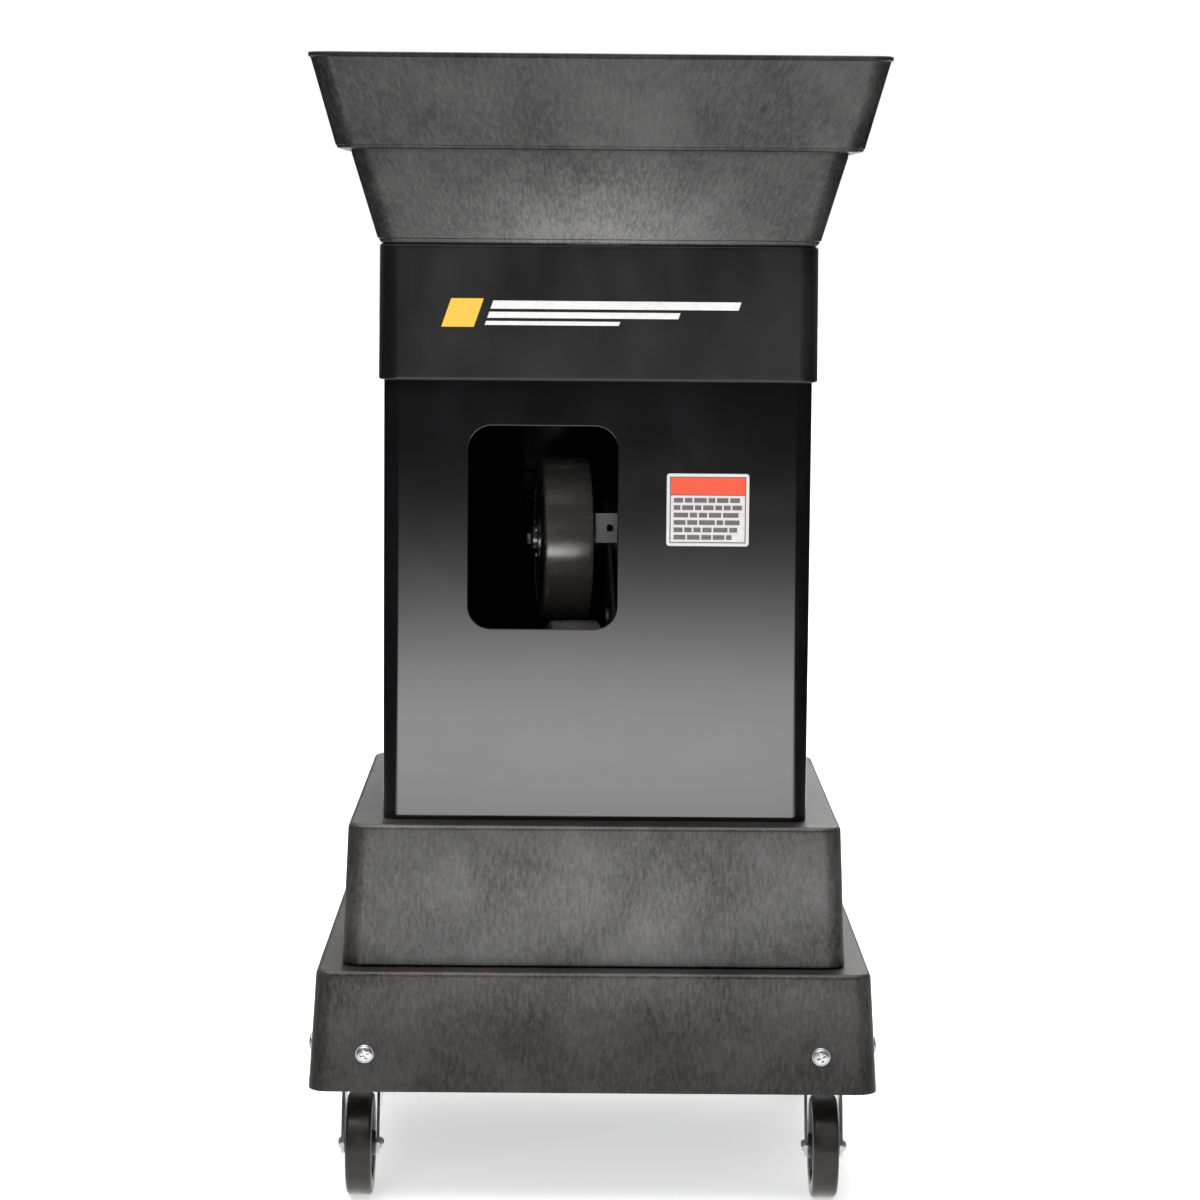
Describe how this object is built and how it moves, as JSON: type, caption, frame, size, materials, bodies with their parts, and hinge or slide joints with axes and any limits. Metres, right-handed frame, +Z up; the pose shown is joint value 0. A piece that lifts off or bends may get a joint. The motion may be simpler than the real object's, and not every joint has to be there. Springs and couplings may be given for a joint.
{
  "type": "tennis ball machine",
  "caption": "Wheeled upright machine that feeds tennis balls from a square flared hopper to two spinning wheels and throws them out of a front window.",
  "frame": {"origin": "on the floor under the middle of the machine", "axes": "+Z up, the ball window faces -Y, +X to the right when looking at the window"},
  "size_m": [0.564, 0.564, 1.1325],
  "materials": {
    "base_moulding": "satin, streaky moulded grain",
    "hopper_moulding": "satin, streaky moulded grain",
    "collar_moulding": "smooth satin",
    "cover_paint": "gloss black",
    "black_steel": "satin black",
    "zinc_plate": "bright zinc plating",
    "caster_tread": "moulded rubber",
    "wheel_tread": "satin urethane",
    "hub_metal": "machined",
    "motor_can": "satin black can",
    "nylon": "natural nylon",
    "knob_plastic": "fine texture",
    "rocker_plastic": "gloss",
    "battery_case": "ABS",
    "label_film": "printed film"
  },
  "bodies": {
    "machine": {"base_lower_shell": "base_moulding", "base_upper_shell": "base_moulding", "base_pan": "black_steel", "left_upright": "zinc_plate", "right_upright": "zinc_plate", "mid_deck": "zinc_plate", "battery": "battery_case", "battery_strap": "black_steel", "control_box": "hub_metal", "sweep_motor": "motor_can", "caster_plate_front_left": "zinc_plate", "caster_plate_front_right": "zinc_plate", "caster_plate_rear_left": "zinc_plate", "caster_plate_rear_right": "zinc_plate", "front_cover": "cover_paint", "rear_cover": "cover_paint", "collar": "collar_moulding", "caution_label": "label_film", "control_panel": "cover_paint", "charge_socket": "knob_plastic", "feed_deck": "zinc_plate", "feed_motor": "motor_can", "drop_tube": "black_steel"},
    "caster_swivel_front_left": {"caster_fork_front_left": "zinc_plate", "caster_axle_front_left": "zinc_plate"},
    "caster_roller_front_left": {"caster_wheel_front_left": "caster_tread"},
    "caster_swivel_front_right": {"caster_fork_front_right": "zinc_plate", "caster_axle_front_right": "zinc_plate"},
    "caster_roller_front_right": {"caster_wheel_front_right": "caster_tread"},
    "caster_swivel_rear_left": {"caster_fork_rear_left": "zinc_plate", "caster_axle_rear_left": "zinc_plate"},
    "caster_roller_rear_left": {"caster_wheel_rear_left": "caster_tread"},
    "caster_swivel_rear_right": {"caster_fork_rear_right": "zinc_plate", "caster_axle_rear_right": "zinc_plate"},
    "caster_roller_rear_right": {"caster_wheel_rear_right": "caster_tread"},
    "hopper": {"hopper_lower": "hopper_moulding", "hopper_upper": "hopper_moulding"},
    "carousel": {"feed_carousel": "nylon", "carousel_cap": "nylon"},
    "sweep": {"sweep_table": "zinc_plate", "tilt_cheek": "black_steel", "tilt_pin": "zinc_plate", "tilt_motor": "motor_can", "ball_elbow": "black_steel"},
    "sweep_drive": {"sweep_pinion": "nylon"},
    "head": {"head_plate": "black_steel", "upper_motor": "motor_can", "lower_motor": "motor_can", "motor_bracket": "zinc_plate"},
    "tilt_drive": {"tilt_pinion": "nylon"},
    "upper_spinner": {"upper_wheel": "wheel_tread", "upper_hub": "hub_metal"},
    "lower_spinner": {"lower_wheel": "wheel_tread", "lower_hub": "hub_metal"},
    "speed_control": {"speed_knob": "knob_plastic"},
    "feed_control": {"feed_knob": "knob_plastic"},
    "spin_control": {"spin_knob": "knob_plastic"},
    "elevation_switch": {"elevation_rocker": "rocker_plastic"},
    "power_switch": {"power_rocker": "rocker_plastic"}
  },
  "joints": [
    {"name": "swivel_front_left", "type": "hinge", "parent": "machine", "child": "caster_swivel_front_left", "pos_m": [-0.232, -0.194, 0.12], "axis": [0, 0, 1], "continuous": true},
    {"name": "roll_front_left", "type": "hinge", "parent": "caster_swivel_front_left", "child": "caster_roller_front_left", "pos_m": [-0.232, -0.23, 0.051], "axis": [1, 0, 0], "continuous": true},
    {"name": "swivel_front_right", "type": "hinge", "parent": "machine", "child": "caster_swivel_front_right", "pos_m": [0.232, -0.194, 0.12], "axis": [0, 0, 1], "continuous": true},
    {"name": "roll_front_right", "type": "hinge", "parent": "caster_swivel_front_right", "child": "caster_roller_front_right", "pos_m": [0.232, -0.23, 0.051], "axis": [1, 0, 0], "continuous": true},
    {"name": "swivel_rear_left", "type": "hinge", "parent": "machine", "child": "caster_swivel_rear_left", "pos_m": [-0.232, 0.194, 0.12], "axis": [0, 0, 1], "continuous": true},
    {"name": "roll_rear_left", "type": "hinge", "parent": "caster_swivel_rear_left", "child": "caster_roller_rear_left", "pos_m": [-0.232, 0.23, 0.051], "axis": [1, 0, 0], "continuous": true},
    {"name": "swivel_rear_right", "type": "hinge", "parent": "machine", "child": "caster_swivel_rear_right", "pos_m": [0.232, 0.194, 0.12], "axis": [0, 0, 1], "continuous": true},
    {"name": "roll_rear_right", "type": "hinge", "parent": "caster_swivel_rear_right", "child": "caster_roller_rear_right", "pos_m": [0.232, 0.23, 0.051], "axis": [1, 0, 0], "continuous": true},
    {"name": "hopper_lift", "type": "slide", "parent": "machine", "child": "hopper", "axis": [0, 0, 1], "range_m": [0, 0.15]},
    {"name": "carousel_turn", "type": "hinge", "parent": "machine", "child": "carousel", "pos_m": [0, 0, 0.89], "axis": [0, 0, 1], "continuous": true},
    {"name": "sweep_turn", "type": "hinge", "parent": "machine", "child": "sweep", "pos_m": [-0.0451, 0.168, 0.345], "axis": [0, 0, 1], "range_deg": [-12, 0]},
    {"name": "sweep_drive_turn", "type": "hinge", "parent": "machine", "child": "sweep_drive", "pos_m": [-0.11778, -0.03168, 0.345], "axis": [0, 0, 1], "range_deg": [0, 101.5]},
    {"name": "head_tilt", "type": "hinge", "parent": "sweep", "child": "head", "pos_m": [-0.02803, -0.03528, 0.5586], "axis": [-0.9965, -0.0837, 0], "range_deg": [-28, 0]},
    {"name": "tilt_drive_turn", "type": "hinge", "parent": "sweep", "child": "tilt_drive", "pos_m": [-0.03622, 0.06229, 0.5032], "axis": [-0.9965, -0.0837, 0], "range_deg": [0, 112.2]},
    {"name": "upper_wheel_spin", "type": "hinge", "parent": "head", "child": "upper_spinner", "pos_m": [-0.03428, 0.03914, 0.6373], "axis": [0.9965, 0.0837, 0], "continuous": true},
    {"name": "lower_wheel_spin", "type": "hinge", "parent": "head", "child": "lower_spinner", "pos_m": [-0.02178, -0.10971, 0.4799], "axis": [0.9965, 0.0837, 0], "continuous": true},
    {"name": "speed_knob_turn", "type": "hinge", "parent": "machine", "child": "speed_control", "pos_m": [0.062, 0.213, 0.722], "axis": [0, -1, 0], "range_deg": [-135, 135]},
    {"name": "feed_knob_turn", "type": "hinge", "parent": "machine", "child": "feed_control", "pos_m": [0.103, 0.213, 0.722], "axis": [0, -1, 0], "range_deg": [-135, 135]},
    {"name": "spin_knob_turn", "type": "hinge", "parent": "machine", "child": "spin_control", "pos_m": [0.144, 0.213, 0.722], "axis": [0, -1, 0], "range_deg": [-135, 135]},
    {"name": "elevation_rocker_tilt", "type": "hinge", "parent": "machine", "child": "elevation_switch", "pos_m": [0.062, 0.213, 0.665], "axis": [1, 0, 0], "range_deg": [-8, 8], "stiffness_Nm_per_rad": 0.05},
    {"name": "power_rocker_tilt", "type": "hinge", "parent": "machine", "child": "power_switch", "pos_m": [0.103, 0.213, 0.665], "axis": [1, 0, 0], "range_deg": [0, 16]}
  ],
  "couplings": [
    {"joint": "sweep_drive_turn", "follows": "sweep_turn", "ratio": -8.4444},
    {"joint": "tilt_drive_turn", "follows": "head_tilt", "ratio": -4}
  ]
}
